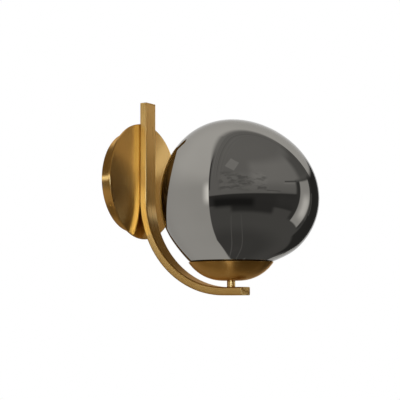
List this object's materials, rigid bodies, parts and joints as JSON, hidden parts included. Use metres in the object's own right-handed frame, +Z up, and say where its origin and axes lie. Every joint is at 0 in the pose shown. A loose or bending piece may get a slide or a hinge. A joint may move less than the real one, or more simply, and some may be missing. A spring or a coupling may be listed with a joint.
{
  "type": "globe wall sconce",
  "caption": "Wall light with a round canopy, a flat brass arm bent forward and a smoked glass globe standing in a shallow bowl.",
  "frame": {"origin": "centre of the canopy's back, on the wall plane, midway between the two wall slots", "axes": "+Z up, +Y into the wall, so that the room lies towards -Y, and +X to the right as the wall is faced"},
  "size_m": [0.1556, 0.206, 0.2],
  "materials": {
    "satin_brass": "satin brushed",
    "zinc_steel": "zinc plated",
    "turned_aluminium": "turned",
    "plated_smoke_glass": "half-mirror plated, polished",
    "silicone": "moulded matt",
    "white_nylon": "moulded",
    "bare_brass": "machined",
    "tinned_copper": "tin plated",
    "earth_insulation": "extruded",
    "live_insulation": "extruded",
    "neutral_insulation": "extruded",
    "glazed_ceramic": "fired and glazed",
    "nickel_wire": "nickel plated",
    "bulb_clear_glass": "clear",
    "light_stick": "phosphor coated"
  },
  "bodies": {
    "root": {"wall_plate": "zinc_steel", "canopy_drum": "satin_brass", "canopy_disc": "satin_brass", "side_screws": "satin_brass", "arm_tube": "satin_brass", "arm_top_cap": "satin_brass", "arm_front_cap": "satin_brass", "arm_fixing_bar": "zinc_steel", "arm_screws": "zinc_steel", "arm_washers": "zinc_steel", "wire_bush": "white_nylon", "terminal_block": "white_nylon", "terminal_sleeves": "bare_brass", "terminal_screws": "zinc_steel", "block_screws": "zinc_steel", "earth_screw": "bare_brass", "earth_ring": "tinned_copper", "earth_wire": "earth_insulation", "live_wire": "live_insulation", "neutral_wire": "neutral_insulation", "stem": "satin_brass", "stem_low_washer": "zinc_steel", "stem_low_nut": "zinc_steel", "stem_top_washer": "zinc_steel", "stem_top_nut": "zinc_steel", "bowl": "satin_brass", "globe_socket": "turned_aluminium", "holder_bracket": "zinc_steel", "holder_body": "glazed_ceramic", "holder_rivets": "zinc_steel", "holder_contacts": "bare_brass"},
    "globe_seat": {"globe_seal": "silicone"},
    "globe": {"globe_collar": "turned_aluminium", "globe_glass": "plated_smoke_glass"},
    "bulb": {"bulb_base": "glazed_ceramic", "bulb_pins": "nickel_wire", "bulb_glass": "bulb_clear_glass", "bulb_stick": "light_stick"}
  },
  "joints": [
    {"name": "globe_turn", "type": "hinge", "parent": "root", "child": "globe_seat", "pos_m": [0, -0.1205, -0.0958], "axis": [0, 0, 1], "continuous": true},
    {"name": "globe_lift", "type": "slide", "parent": "globe_seat", "child": "globe", "axis": [0, 0, 1], "range_m": [0, 0.1]},
    {"name": "bulb_pull", "type": "slide", "parent": "root", "child": "bulb", "axis": [0, 0, 1], "range_m": [0, 0.012]}
  ]
}
